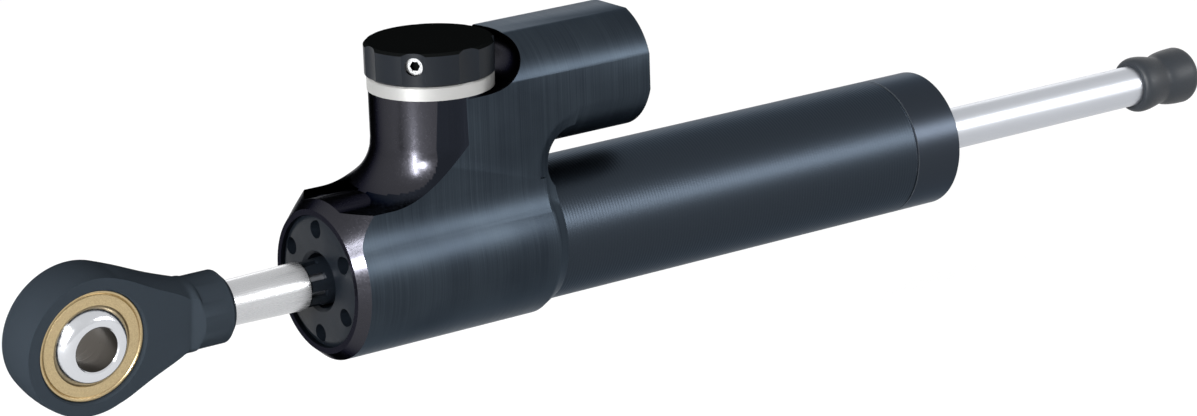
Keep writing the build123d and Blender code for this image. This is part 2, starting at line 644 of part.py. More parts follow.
def rear_cap():
    """Screwed rear cap and rod guide in one, smooth outside with a fine seam."""
    face_r = TUBE_R - REAR_CAP_CHAMFER
    seam_r = TUBE_R - SEAM_DEPTH
    seam_end = TUBE_END_X + SEAM_WIDTH
    cap = turned_x((
        (REAR_SPIGOT_X, 0), (REAR_SPIGOT_X, LINER_BORE_R - STATIC_GAP),
        (LINER_END_X, LINER_BORE_R - STATIC_GAP), (LINER_END_X, TUBE_BORE_R - STATIC_GAP),
        (TUBE_END_X, TUBE_BORE_R - STATIC_GAP), (TUBE_END_X, seam_r), (seam_end, seam_r),
        (seam_end, TUBE_R), (REAR_CAP_END_X - REAR_CAP_CHAMFER, TUBE_R), (REAR_CAP_END_X, face_r),
        (REAR_CAP_END_X, 0),
    ))
    cap -= round_x(ROD_R + LOOSE_GAP, REAR_SPIGOT_X, REAR_CAP_END_X)
    cap -= round_x(WIPER_R, REAR_CAP_END_X - WIPER_LENGTH, REAR_CAP_END_X)
    cap -= round_x(SEAL_R, rear_seal_x(), REAR_CAP_END_X)
    cap -= round_x(ROD_R + BUSH_WALL + STATIC_GAP, rear_bush_x(), REAR_CAP_END_X)
    cap -= round_x(CHAMBER_R, REAR_SPIGOT_X, rear_bush_x())
    cap -= o_ring_groove_x(TUBE_BORE_R - STATIC_GAP, rear_o_ring_x())
    hole_start = REAR_CAP_END_X - PIN_HOLE_DEPTH
    hole = round_x(PIN_HOLE_R, hole_start, REAR_CAP_END_X, PIN_CIRCLE_R)
    return cap - ring_of_x(hole, PIN_HOLES, PIN_FIRST_ANGLE)


def rear_o_ring_x():
    """Station of the rear cap's O-ring, inside the tube's end."""
    return (LINER_END_X + TUBE_END_X) / 2


# Housing

def side_blend():
    """Hollow corner between a flat side and the round underside, for both sides."""
    centre_y = BLOCK_HALF_WIDTH + SIDE_BLEND_R
    reach = HOUSING_R + SIDE_BLEND_R
    centre_z = sqrt(reach ** 2 - centre_y ** 2)
    foot = (centre_y * HOUSING_R / reach, centre_z * HOUSING_R / reach)
    outline = Polyline((0, 0), foot, (BLOCK_HALF_WIDTH, centre_z), (0, centre_z), close=True)
    section = make_face(outline) - Location((centre_y, centre_z)) * Circle(SIDE_BLEND_R)
    seat = Plane((HOUSING_START_X, 0, 0), x_dir=(0, 1, 0), z_dir=(1, 0, 0))
    corner = seat * extrude(section, COLLAR_END_X - COLLAR_TAPER_LENGTH - HOUSING_START_X)
    return corner + mirror(corner, Plane.XZ)


def housing_base():
    """Lower cylinder and block, turned to a bevelled nose at the eye end."""
    taper_start = COLLAR_END_X - COLLAR_TAPER_LENGTH
    cylinder = turned_x((
        (HOUSING_START_X, 0), (HOUSING_START_X, HOUSING_R), (taper_start, HOUSING_R),
        (COLLAR_END_X, TUBE_R + COLLAR_LIP), (COLLAR_END_X, 0),
    ))
    block = slab((HOUSING_START_X, -BLOCK_HALF_WIDTH, 0), (TURRET_X, BLOCK_HALF_WIDTH, BLOCK_TOP_Z))
    reach_r = 2 * HOUSING_R
    reach_x = HOUSING_START_X + (reach_r - HOUSING_LIP_R) * NOSE_SLOPE
    envelope = turned_x((
        (HOUSING_START_X, 0), (HOUSING_START_X, HOUSING_LIP_R), (reach_x, reach_r),
        (BARREL_END_X, reach_r), (BARREL_END_X, 0),
    ))
    return (cylinder + block + side_blend()) & envelope


def turret():
    """Round turret with the cove that sweeps down from it to the block."""
    post = round_z(BLOCK_HALF_WIDTH, 0, TURRET_TOP_Z, TURRET_X)
    reach = BLOCK_HALF_WIDTH + COVE_R
    top = BLOCK_TOP_Z + COVE_R
    corner_x = BLOCK_HALF_WIDTH + COVE_R * (1 - sin(pi / 4))
    corner_z = BLOCK_TOP_Z + COVE_R * (1 - sin(pi / 4))
    outline = (
        Line((0, BLOCK_TOP_Z), (reach, BLOCK_TOP_Z))
        + ThreePointArc((reach, BLOCK_TOP_Z), (corner_x, corner_z), (BLOCK_HALF_WIDTH, top))
        + Line((BLOCK_HALF_WIDTH, top), (0, top))
        + Line((0, top), (0, BLOCK_TOP_Z))
    )
    cove = TURRET * revolve(Plane.XZ * make_face(outline), Axis.Z)
    near_side = slab((TURRET_X - reach, -BLOCK_HALF_WIDTH, 0), (TURRET_X, BLOCK_HALF_WIDTH, top))
    return post + (cove & near_side)


def web_end_tool():
    """Cutter for the web's hollow right end: a drum with flared rims."""
    inner_r = WEB_ARC_R - WEB_ARC_STEP
    half = BLOCK_HALF_WIDTH - WEB_ARC_EDGE
    reach_r = WEB_ARC_R + WEB_ARC_STEP
    reach_y = BLOCK_HALF_WIDTH + WEB_ARC_EDGE
    outline = Polyline(
        (0, -reach_y), (reach_r, -reach_y), (inner_r, -half), (inner_r, half),
        (reach_r, reach_y), (0, reach_y), close=True,
    )
    drum = revolve(make_face(outline), Axis.Y)
    return Location((WEB_ARC_X, 0, WEB_ARC_Z)) * drum


def web():
    """Wall that joins the turret, the lower cylinder and the barrel."""
    low = (TURRET_X, -BLOCK_HALF_WIDTH, 0)
    wall = slab(low, (WEB_ARC_X, BLOCK_HALF_WIDTH, BARREL_Z))
    beyond = slab(
        (COLLAR_END_X, -2 * BLOCK_HALF_WIDTH, 0),
        (WEB_ARC_X + CUT_OVERRUN, 2 * BLOCK_HALF_WIDTH, WEB_ARC_Z),
    )
    return wall - web_end_tool() - beyond


def barrel_profile():
    """The barrel's section: a circle with two side flats and a top flat."""
    section = Circle(BARREL_R)
    top = BARREL_TOP_Z - BARREL_Z
    window = Location((0, (top - BARREL_R) / 2)) * Rectangle(2 * BLOCK_HALF_WIDTH, top + BARREL_R)
    return section & window


def barrel():
    """Barrel beside the knob, with its far edge broken."""
    seat = Plane((TURRET_X, 0, BARREL_Z), x_dir=(0, 1, 0), z_dir=(1, 0, 0))
    body = seat * extrude(barrel_profile(), BARREL_END_X - TURRET_X)
    rim = body.edges().group_by(Axis.X)[-1]
    return chamfer(rim, BARREL_CHAMFER)


def notch_tool():
    """Cutter for the round groove that clears the knob, turned about the turret's axis."""
    low = NOTCH_CENTRE_Z - NOTCH_R
    high = NOTCH_CENTRE_Z + NOTCH_R
    outline = (
        Line((0, low), (NOTCH_CENTRE_R, low))
        + ThreePointArc(
            (NOTCH_CENTRE_R, low), (NOTCH_CENTRE_R + NOTCH_R, NOTCH_CENTRE_Z), (NOTCH_CENTRE_R, high)
        )
        + Line((NOTCH_CENTRE_R, high), (0, high))
        + Line((0, high), (0, low))
    )
    return TURRET * revolve(Plane.XZ * make_face(outline), Axis.Z)


def oil_ways():
    """Drillings that join the chambers, the valve and the compensator."""
    ways = round_z(OIL_WAY_R, 0, TURRET_BORE_FLOOR_Z, TUBE_WAY_X)
    ways += round_z(OIL_WAY_R, 0, TURRET_BORE_FLOOR_Z, FRONT_WAY_X)
    ways += round_x(OIL_WAY_R, TURRET_X, BARREL_BORE_START_X, 0, COMPENSATOR_WAY_Z)
    return ways


def housing_block():
    """Billet housing with every bore cut."""
    body = housing_base() + turret() + ((web() + barrel()) - notch_tool())
    body -= round_x(FRONT_BORE_R, HOUSING_START_X, TUBE_START_X)
    body -= round_x(TUBE_R - TUBE_THREAD_DEPTH + STATIC_GAP, TUBE_START_X, COLLAR_END_X)
    body -= round_z(TURRET_BORE_R, TURRET_BORE_FLOOR_Z, TURRET_TOP_Z, TURRET_X)
    body -= round_x(BARREL_BORE_R, BARREL_BORE_START_X, BARREL_END_X, 0, BARREL_Z)
    flange_start = BARREL_END_X - PLUG_FLANGE_LENGTH
    body -= round_x(PLUG_FLANGE_R + STATIC_GAP, flange_start, BARREL_END_X, 0, BARREL_Z)
    return body - oil_ways()


# Adjuster

def index_ball_z():
    """Height of the index ball's centre when it sits in a dimple."""
    return RING_TOP_Z - INDEX_DIMPLE_DEPTH + INDEX_BALL_R


def dimple(angle):
    """Seat for the index ball in the ring's top, at one click."""
    x = INDEX_R * cos(radians(angle))
    y = INDEX_R * sin(radians(angle))
    return Location((TURRET_X + x, y, index_ball_z())) * Sphere(INDEX_BALL_R + INDEX_TRACK_GAP)


def index_track():
    """Shallow track that the ball rolls in from dimple to dimple."""
    section = Location((INDEX_R, 0, index_ball_z())) * (Plane.XZ * Circle(INDEX_BALL_R + STATIC_GAP))
    return TURRET * revolve(section, Axis.Z)


def index_angle():
    """Angle of the index ball: half way between two flutes of the knob."""
    return KNOB_FLUTE_ANGLE + 180 / KNOB_FLUTES


def index_ring():
    """Satin ring under the knob, with a track and dimples on top for the clicks."""
    blank = round_z(RING_R, TURRET_TOP_Z, RING_TOP_Z, TURRET_X)
    blank = chamfer(blank.edges().group_by(Axis.Z)[-1], RING_EDGE)
    blank -= round_z(RING_BORE_R, TURRET_TOP_Z, RING_TOP_Z, TURRET_X)
    blank -= round_z(RING_RECESS_R, RING_TOP_Z - RING_RECESS_DEPTH, RING_TOP_Z, TURRET_X)
    blank -= index_track()
    return blank - [dimple(index_angle() + click * 360 / INDEX_CLICKS) for click in range(INDEX_CLICKS)]


def flute_tool(angle):
    """Cutter for one scallop in the knob's edge."""
    reach = KNOB_R - KNOB_FLUTE_DEPTH + KNOB_FLUTE_R
    x = TURRET_X + reach * cos(radians(angle))
    y = reach * sin(radians(angle))
    return round_z(KNOB_FLUTE_R, KNOB_LOW_Z, KNOB_TOP_Z, x, y)


def at_set_screw(shape):
    """Place a piece made along X from the knob's axis on the set screw's line."""
    return Location((TURRET_X, 0, SET_SCREW_Z)) * (Rot(0, 0, KNOB_FLUTE_ANGLE) * shape)


def knob():
    """Scalloped knob with a spindle bore, a click pocket and a set-screw hole."""
    body = round_z(KNOB_R, KNOB_LOW_Z, KNOB_TOP_Z, TURRET_X)
    body = chamfer(body.edges().group_by(Axis.Z)[-1], KNOB_EDGE)
    body = chamfer(body.edges().group_by(Axis.Z)[0], KNOB_BASE_EDGE)
    for flute in range(KNOB_FLUTES):
        body -= flute_tool(KNOB_FLUTE_ANGLE + flute * 360 / KNOB_FLUTES)
    body -= round_z(KNOB_RECESS_R, KNOB_LOW_Z, KNOB_LOW_Z + KNOB_RECESS_DEPTH, TURRET_X)
    body -= round_z(SPINDLE_R + STATIC_GAP, KNOB_LOW_Z, KNOB_TOP_Z - KNOB_ROOF, TURRET_X)
    body -= at_set_screw(round_x(SET_SCREW_R + STATIC_GAP, 0, KNOB_R))
    pocket_top = KNOB_TOP_Z - KNOB_ROOF
    body -= index_column(INDEX_BALL_R + RUNNING_GAP, KNOB_LOW_Z, pocket_top)
    return body


def index_column(radius, low, high):
    """A cylinder on the index ball's own axis."""
    x = TURRET_X + INDEX_R * cos(radians(index_angle()))
    y = INDEX_R * sin(radians(index_angle()))
    return round_z(radius, low, high, x, y)


def index_ball():
    """Steel ball that clicks into the index ring."""
    x = TURRET_X + INDEX_R * cos(radians(index_angle()))
    y = INDEX_R * sin(radians(index_angle()))
    return Location((x, y, index_ball_z())) * Sphere(INDEX_BALL_R - STATIC_GAP)


def index_spring():
    """Small spring behind the index ball, kept as its outer cylinder."""
    return index_column(INDEX_SPRING_R, index_ball_z() + INDEX_BALL_R, KNOB_TOP_Z - KNOB_ROOF)


def knob_set_screw():
    """Cup-pointed set screw with a hexagon socket, tight on the spindle."""
    outer = KNOB_R - KNOB_FLUTE_DEPTH - SET_SCREW_DEPTH
    tip = SPINDLE_R + STATIC_GAP
    screw = turned_x((
        (tip, 0), (tip, SET_SCREW_R - SET_SCREW_CONE), (tip + SET_SCREW_CONE, SET_SCREW_R),
        (outer, SET_SCREW_R), (outer, 0),
    ))
    seat = Plane((outer - SET_SCREW_SOCKET_DEPTH, 0, 0), x_dir=(0, 1, 0), z_dir=(1, 0, 0))
    socket = seat * extrude(RegularPolygon(SET_SCREW_SOCKET_R, 6), SET_SCREW_SOCKET_DEPTH)
    return at_set_screw(screw - socket)


def valve_spindle():
    """Spindle clamped in the knob: a shoulder under the cartridge head and a thread below."""
    shoulder_top = spindle_shoulder_z()
    shoulder_low = shoulder_top - SPINDLE_SHOULDER_LENGTH
    spindle = round_z(SPINDLE_R, shoulder_low, KNOB_TOP_Z - KNOB_ROOF - STATIC_GAP, TURRET_X)
    spindle += round_z(SPINDLE_SHOULDER_R, shoulder_low, shoulder_top, TURRET_X)
    return spindle + round_z(SPINDLE_THREAD_R, SPINDLE_LOW_Z, shoulder_low, TURRET_X)


def spindle_shoulder_z():
    """Top of the spindle's shoulder, just under the cartridge head."""
    return TURRET_TOP_Z - RUNNING_GAP


def valve_cartridge():
    """Flanged valve cartridge with a flat-sided bore for the needle and an open foot."""
    body = round_z(TURRET_BORE_R - STATIC_GAP, TURRET_BORE_FLOOR_Z, TURRET_TOP_Z, TURRET_X)
    head_low = RING_TOP_Z - RING_RECESS_DEPTH
    body += round_z(TURRET_BORE_R - STATIC_GAP, TURRET_TOP_Z, head_low, TURRET_X)
    body += round_z(CARTRIDGE_HEAD_R, head_low, CARTRIDGE_HEAD_TOP_Z, TURRET_X)
    body -= round_z(SPINDLE_R + RUNNING_GAP, TURRET_BORE_FLOOR_Z, CARTRIDGE_HEAD_TOP_Z, TURRET_X)
    body -= round_z(CARTRIDGE_BORE_R, NEEDLE_TOP_Z, TURRET_TOP_Z, TURRET_X)
    body -= flatted(CARTRIDGE_BORE_R, CARTRIDGE_FLAT, SEAT_TOP_Z, TURRET_TOP_Z)
    body -= round_z(CARTRIDGE_BORE_R, TURRET_BORE_FLOOR_Z, SEAT_TOP_Z, TURRET_X)
    side_port = round_x(OIL_WAY_R, -TURRET_BORE_R, TURRET_BORE_R, 0, COMPENSATOR_WAY_Z - LOOSE_GAP)
    return body - Location((TURRET_X, 0, 0)) * side_port


def flatted(radius, flat, low, high):
    """A column with two flats, standing on the turret's axis."""
    column = round_z(radius, low, high, TURRET_X)
    window = slab(
        (TURRET_X - radius, -flat, low), (TURRET_X + radius, flat, high)
    )
    return column & window


def valve_seat():
    """Seat pressed in the cartridge's foot, with the metering hole."""
    radius = CARTRIDGE_BORE_R - STATIC_GAP
    seat = round_z(radius, TURRET_BORE_FLOOR_Z, SEAT_TOP_Z, TURRET_X)
    return seat - round_z(SEAT_HOLE_R, TURRET_BORE_FLOOR_Z, SEAT_TOP_Z, TURRET_X)


def metering_needle():
    """Needle with a flat-sided head that the spindle's thread raises and lowers."""
    radius = CARTRIDGE_BORE_R - RUNNING_GAP
    flat = CARTRIDGE_FLAT - RUNNING_GAP
    head = flatted(radius, flat, NEEDLE_BODY_LOW_Z, NEEDLE_TOP_Z)
    stem = round_z(NEEDLE_STEM_R, NEEDLE_TIP_Z + NEEDLE_CONE_LENGTH, NEEDLE_BODY_LOW_Z, TURRET_X)
    cone = Cone(NEEDLE_TIP_R, NEEDLE_STEM_R, NEEDLE_CONE_LENGTH)
    stem += Location((TURRET_X, 0, NEEDLE_TIP_Z + NEEDLE_CONE_LENGTH / 2)) * cone
    hole_low = SPINDLE_LOW_Z - NEEDLE_PITCH
    return head + stem - round_z(SPINDLE_THREAD_R + RUNNING_GAP, hole_low, NEEDLE_TOP_Z, TURRET_X)


# Temperature compensator

def compensator_piston():
    """Cup-shaped piston that floats in the barrel as the oil swells."""
    radius = BARREL_BORE_R - RUNNING_GAP
    end = COMP_PISTON_X + COMP_PISTON_LENGTH
    cup = round_x(radius, COMP_PISTON_X, end)
    cup -= round_x(radius - COMP_PISTON_WALL, COMP_PISTON_X + COMP_PISTON_LENGTH / 2, end)
    cup -= o_ring_groove_x(radius, COMP_PISTON_X + COMP_PISTON_LENGTH / 4)
    return Location((0, 0, BARREL_Z)) * cup


def compensator_o_ring():
    """O-ring round the floating piston."""
    radius = BARREL_BORE_R - RUNNING_GAP
    ring = o_ring_x(radius - 2 * O_RING_CORD_R, COMP_PISTON_X + COMP_PISTON_LENGTH / 4)
    return Location((0, 0, BARREL_Z)) * ring


def end_plug():
    """Flanged plug that closes the barrel, with two spanner holes."""
    plug = round_x(BARREL_BORE_R - STATIC_GAP, PLUG_START_X, BARREL_END_X)
    plug += round_x(PLUG_FLANGE_R, BARREL_END_X - PLUG_FLANGE_LENGTH, BARREL_END_X)
    plug -= o_ring_groove_x(BARREL_BORE_R - STATIC_GAP, end_plug_o_ring_x())
    hole = round_x(PLUG_PIN_R, BARREL_END_X - PLUG_PIN_DEPTH, BARREL_END_X, PLUG_PIN_CIRCLE_R)
    plug -= ring_of_x(hole, 2, 0)
    return Location((0, 0, BARREL_Z)) * plug


def end_plug_o_ring_x():
    """Station of the end plug's O-ring."""
    return PLUG_START_X + PLUG_LENGTH / 3


def helix_state(turn, start, pitch, coil_r):
    """Point and direction of a helix about the barrel's axis after some turns."""
    angle = 2 * pi * turn
    point = Vector(start + pitch * turn, coil_r * cos(angle), BARREL_Z + coil_r * sin(angle))
    direction = Vector(pitch / (2 * pi), -coil_r * sin(angle), coil_r * cos(angle))
    return point, direction.normalized()


def two_arcs(here, there):
    """Two arcs that meet smoothly and join two states, each a point and a direction."""
    start, start_way = here
    end, end_way = there
    chord = end - start
    lean = chord.dot(start_way + end_way)
    bend = 2 * (1 - start_way.dot(end_way))
    reach = (sqrt(lean ** 2 + bend * chord.dot(chord)) - lean) / bend
    first_corner = start + start_way * reach
    last_corner = end - end_way * reach
    middle = (first_corner + last_corner) / 2
    return [
        TangentArc(start, middle, tangent=start_way),
        TangentArc(middle, end, tangent=last_corner - first_corner),
    ]


def compensator_spring():
    """Round wire spring behind the floating piston, its helix drawn with smooth arcs."""
    start = COMP_PISTON_X + COMP_PISTON_LENGTH / 2 + SPRING_WIRE_R
    end = PLUG_START_X - SPRING_WIRE_R
    pitch = (end - start) / SPRING_COILS
    coil_r = BARREL_BORE_R - SPRING_INSET - SPRING_WIRE_R
    quarters = SPRING_COILS * 4
    states = [helix_state(quarter / 4, start, pitch, coil_r) for quarter in range(quarters + 1)]
    arcs = [arc for here, there in zip(states, states[1:]) for arc in two_arcs(here, there)]
    point, direction = states[0]
    section = Plane(point, z_dir=direction) * Circle(SPRING_WIRE_R)
    print("least gap between the spring's coils", round(pitch - 2 * SPRING_WIRE_R, 3), "mm")
    return sweep(section, path=Wire(arcs))


def all_parts():
    """Every piece by its plain name."""
    front_full_r = FRONT_BORE_R - STATIC_GAP
    barrel_r = BARREL_BORE_R - STATIC_GAP
    plug_ring = o_ring_x(barrel_r - 2 * O_RING_CORD_R, end_plug_o_ring_x())
    return {
        "housing_block": housing_block(),
        "main_tube": main_tube(),
        "inner_liner": inner_liner(),
        "front_cap": front_cap(),
        "front_guide": front_guide(),
        "front_bush": bush(front_bush_x(), FRONT_BUSH_LENGTH),
        "front_rod_seal": rod_seal(front_seal_x(), SEAL_R, SEAL_LENGTH),
        "front_wiper": rod_seal(FRONT_GUIDE_X, WIPER_R, WIPER_LENGTH),
        "front_o_ring": o_ring_x(front_full_r - 2 * O_RING_CORD_R, front_o_ring_x()),
        "rear_cap": rear_cap(),
        "rear_bush": bush(rear_bush_x(), REAR_BUSH_LENGTH),
        "rear_rod_seal": rod_seal(rear_seal_x(), SEAL_R, SEAL_LENGTH),
        "rear_wiper": rod_seal(REAR_CAP_END_X - WIPER_LENGTH, WIPER_R, WIPER_LENGTH),
        "rear_o_ring": o_ring_x(TUBE_BORE_R - STATIC_GAP - 2 * O_RING_CORD_R, rear_o_ring_x()),
        "index_ring": index_ring(),
        "valve_cartridge": valve_cartridge(),
        "valve_seat": valve_seat(),
        "end_plug": end_plug(),
        "end_plug_o_ring": Location((0, 0, BARREL_Z)) * plug_ring,
        "compensator_spring": compensator_spring(),
        "compensator_piston": compensator_piston(),
        "compensator_o_ring": compensator_o_ring(),
        "piston_ring": piston_ring(),
        "rod": rod(),
        "rod_piston": rod_piston(),
        "piston_clips": piston_clips(),
        "rod_sleeve": rod_sleeve(),
        "slotted_collar": slotted_collar(),
        "rod_end_eye": rod_end_eye(),
        "bearing_race": bearing_race(),
        "rubber_bumper": rubber_bumper(),
        "bearing_ball": bearing_ball(),
        "knob": knob(),
        "knob_set_screw": knob_set_screw(),
        "index_ball": index_ball(),
        "index_spring": index_spring(),
        "valve_spindle": valve_spindle(),
        "metering_needle": metering_needle(),
    }


os.makedirs("parts", exist_ok=True)
for name, shape in all_parts().items():
    export_step(shape, f"parts/{name}.step")
    print(name, round(shape.volume, 1), "cubic mm")
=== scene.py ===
# %% [markdown]
# A steering damper, dressed for its portrait
#
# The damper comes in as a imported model: every piece at its true size, in metres,
# in one frame. X runs along the damper from the rod-end eye to the rubber bumper,
# Z runs up the adjuster knob, and the origin is the centre of the ball in the eye.
# This lesson gives each visible piece a smooth surface and a finish, then sets the
# camera and a plain studio around it.

# %% Load the frame
import json

import bpy
import numpy as np
from mathutils import Matrix, Vector

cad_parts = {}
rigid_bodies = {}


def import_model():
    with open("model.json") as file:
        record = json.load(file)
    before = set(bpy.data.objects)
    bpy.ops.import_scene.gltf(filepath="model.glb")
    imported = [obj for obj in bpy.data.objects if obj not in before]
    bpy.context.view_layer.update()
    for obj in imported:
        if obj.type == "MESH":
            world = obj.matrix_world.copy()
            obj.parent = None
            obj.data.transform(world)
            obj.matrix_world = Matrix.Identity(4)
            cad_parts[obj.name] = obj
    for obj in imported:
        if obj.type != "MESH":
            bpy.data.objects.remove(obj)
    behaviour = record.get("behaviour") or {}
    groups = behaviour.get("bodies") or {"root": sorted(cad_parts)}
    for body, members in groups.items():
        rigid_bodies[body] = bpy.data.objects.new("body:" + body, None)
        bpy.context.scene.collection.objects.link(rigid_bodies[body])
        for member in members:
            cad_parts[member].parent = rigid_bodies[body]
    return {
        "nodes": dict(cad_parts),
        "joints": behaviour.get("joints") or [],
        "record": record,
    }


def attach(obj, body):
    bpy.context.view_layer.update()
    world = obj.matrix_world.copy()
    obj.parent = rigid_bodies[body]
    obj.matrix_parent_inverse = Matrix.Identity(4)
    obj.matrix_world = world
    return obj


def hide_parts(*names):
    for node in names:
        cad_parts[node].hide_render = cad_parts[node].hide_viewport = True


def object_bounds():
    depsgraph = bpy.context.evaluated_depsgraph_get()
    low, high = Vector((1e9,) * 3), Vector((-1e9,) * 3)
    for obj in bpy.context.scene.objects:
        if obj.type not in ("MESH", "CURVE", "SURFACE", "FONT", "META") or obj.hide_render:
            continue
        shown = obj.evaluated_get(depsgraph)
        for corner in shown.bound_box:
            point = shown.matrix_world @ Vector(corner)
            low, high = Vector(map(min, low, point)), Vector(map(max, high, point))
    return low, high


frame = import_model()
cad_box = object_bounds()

MM = 0.001
DEG = np.pi / 180

# %% [markdown]
# Camera
#
# The photograph was taken with a long lens from in front, to the left and a little
# above. A camera could be placed by eye, but then the render would never lie over
# the photograph. So its place and turn were worked out from the circles of the tube,
# the knob and the ball.

# %% Values of the camera
CAMERA_PLACE = Vector((-406.937, -743.094, 270.154)) * MM
CAMERA_AZIMUTH = -36.135        # this and the next two in degrees
CAMERA_ELEVATION = 16.283
CAMERA_ROLL = -1.912
CAMERA_LENS = 126.447           # in millimetres, for a film of the next width
FILM_WIDTH = 36.0
NEAREST_SEEN = 10 * MM


def camera_turn(azimuth, elevation, roll):
    """Rotation whose columns are the camera's right, up and backward directions.

    Azimuth 0 looks along +Y; elevation is the height looked down from.
    """
    forward = Matrix.Rotation(azimuth * DEG, 3, "Z") @ Vector((0, 1, 0))
    forward = Vector((forward.x, forward.y, 0)).normalized() * np.cos(elevation * DEG)
    forward.z = -np.sin(elevation * DEG)
    level = forward.cross(Vector((0, 0, 1))).normalized()
    upright = level.cross(forward)
    right = level * np.cos(roll * DEG) + upright * np.sin(roll * DEG)
    up = right.cross(forward)
    return Matrix((right, up, -forward)).transposed()


print("lens", CAMERA_LENS, "mm")

# %% Camera
camera_data = bpy.data.cameras.new("camera")
camera_data.lens = CAMERA_LENS
camera_data.sensor_width = FILM_WIDTH
camera_data.sensor_fit = "HORIZONTAL"
camera_data.clip_start = NEAREST_SEEN
camera = bpy.data.objects.new("camera", camera_data)
bpy.context.scene.collection.objects.link(camera)
camera.matrix_world = (
    Matrix.Translation(CAMERA_PLACE)
    @ camera_turn(CAMERA_AZIMUTH, CAMERA_ELEVATION, CAMERA_ROLL).to_4x4()
)
bpy.context.scene.camera = camera
print("camera looks from", [round(v, 3) for v in CAMERA_PLACE])

# %% [markdown]
# Helpers for finishes
#
# A finish is a small graph of shader nodes. It could be wired by hand in the shader
# editor, but in code a graph can be read and repeated. One function turns a colour
# written as hex, the way a designer picks it on screen, into the linear light that
# the renderer counts in, and another adds a node with its settings and its links.

# %% Colour and nodes


def linear(hex_colour):
    """Linear RGBA from an sRGB hex string: the standard curve, channel by channel."""
    channels = np.array([int(hex_colour[i:i + 2], 16) for i in (1, 3, 5)]) / 255
    low = channels / 12.92
    high = ((channels + 0.055) / 1.055) ** 2.4
    return (*np.where(channels <= 0.04045, low, high), 1.0)


def add(tree, kind, settings=None, inputs=None):
    """Add one shader node; an input may be a value or another node's output socket."""
    made = tree.nodes.new(kind)
    for name, value in (settings or {}).items():
        setattr(made, name, value)
    for name, value in (inputs or {}).items():
        socket = made.inputs[name]
        if isinstance(value, bpy.types.NodeSocket):
            tree.links.new(value, socket)
        else:
            socket.default_value = value
    return made


def finish_of(name, inputs):
    """A material with one Principled shader, and the tree to add detail to."""
    material = bpy.data.materials.new(name)
    material.use_nodes = True
    tree = material.node_tree
    shader = tree.nodes["Principled BSDF"]
    for socket, value in inputs.items():
        shader.inputs[socket].default_value = value
    return material, tree, shader


print("white is", linear("#ffffff"))

# %% [markdown]
# Nearly every finish here has one thing in common: its gloss is uneven, and the same
# unevenness can be felt. A smooth random pattern stands for it. The pattern is given
# its real size in millimetres along each axis, so grain is a pattern of one size, and
# a tool's lines are a pattern that is short across the lines and long along them. Real
# grain is far finer than a pixel of this picture, so each size below is as coarse as it
# has to be to show.

# %% Grain
PATTERN_LOW, PATTERN_HIGH = 0.3, 0.7    # the range in which most of a noise pattern lies
CLOUDY, SANDY, GRITTY = 2.0, 3.0, 4.0   # how many finer copies of itself a pattern gets
FAINT, GENTLE, FIRM = 0.4, 0.5, 0.6     # how strongly a relief tilts the surface


def grain_of(tree, size, detail):
    """Socket of a random pattern between 0 and 1: noise of the place divided by the size."""
    place = add(tree, "ShaderNodeTexCoord").outputs["Object"]
    scaled = add(
        tree, "ShaderNodeMapping", {},
        {"Vector": place, "Scale": [1 / (side * MM) for side in size]},
    ).outputs[0]
    return add(
        tree, "ShaderNodeTexNoise", {},
        {"Vector": scaled, "Scale": 1.0, "Detail": detail},
    ).outputs["Fac"]


def wear_in(tree, shader, grain, gloss, height=None, strength=FAINT):
    """Let a pattern set the roughness, from gloss[0] to gloss[1], and tilt the surface.

    The roughness rises in a straight line with the pattern; the height, in
    millimetres, is what the pattern's full range would stand out from the surface.
    """
    roughness = add(tree, "ShaderNodeMapRange", {}, {
        "Value": grain, "From Min": PATTERN_LOW, "From Max": PATTERN_HIGH,
        "To Min": gloss[0], "To Max": gloss[1],
    })
    tree.links.new(roughness.outputs[0], shader.inputs["Roughness"])
    if height:
        relief = add(tree, "ShaderNodeBump", {}, {
            "Height": grain, "Distance": height * MM, "Strength": strength,
        })
        tree.links.new(relief.outputs[0], shader.inputs["Normal"])


def grained(name, inputs, size, detail, gloss, height=None, strength=FAINT):
    """A whole finish with one colour, whose pattern sets its gloss and relief."""
    material, tree, shader = finish_of(name, inputs)
    wear_in(tree, shader, grain_of(tree, size, detail), gloss, height, strength)
    return material


print("pattern range", PATTERN_LOW, PATTERN_HIGH)

# %% [markdown]
# Milled housing
#
# The housing is aluminium, milled from one block and dyed. The dyed layer is dark and
# slightly see-through over metal. It could be painted as a dark plastic, but then its
# reflections would be white and thin; as a metal of a very dark colour it takes the
# soft blue-grey sheen of the real one. The cutter's passes stay visible under the dye
# as fine lines across X, and the dye itself is a little cloudy.

# %% Milled housing
MILL_LINE = 0.22                # spacing of the cutter's marks, coarser than real so that it shows
MILL_REACH = 60                 # how far one mark runs unchanged
DYE_CLOUD = 14                  # size of slow changes in the dye
SUM_LOW, SUM_HIGH = 0.7, 1.3    # the range in which most of two patterns' sum lies
GRAZED_DYE = linear("#c4c9cf")  # a dyed layer reflects less of the light that grazes it


def milled_anodised():
    """Two blue-greys, mixed by the cutter's lines plus the cloud of the dye."""
    material, tree, shader = finish_of("milled_anodised_aluminium", {
        "Metallic": 1.0, "Specular Tint": GRAZED_DYE,
    })
    lines = grain_of(tree, (MILL_LINE, MILL_REACH, MILL_REACH), CLOUDY)
    cloud = grain_of(tree, (DYE_CLOUD,) * 3, CLOUDY)
    both = add(tree, "ShaderNodeMath", {"operation": "ADD"}, {0: lines, 1: cloud})
    share = add(tree, "ShaderNodeMapRange", {}, {
        "Value": both.outputs[0], "From Min": SUM_LOW, "From Max": SUM_HIGH,
    })
    colour = add(tree, "ShaderNodeMix", {"data_type": "RGBA"}, {
        "Factor": share.outputs[0], "A": linear("#242a31"), "B": linear("#2f363d"),
    })
    tree.links.new(colour.outputs["Result"], shader.inputs["Base Color"])
    wear_in(tree, shader, lines, gloss=(0.34, 0.42), height=0.016, strength=FIRM)
    return material


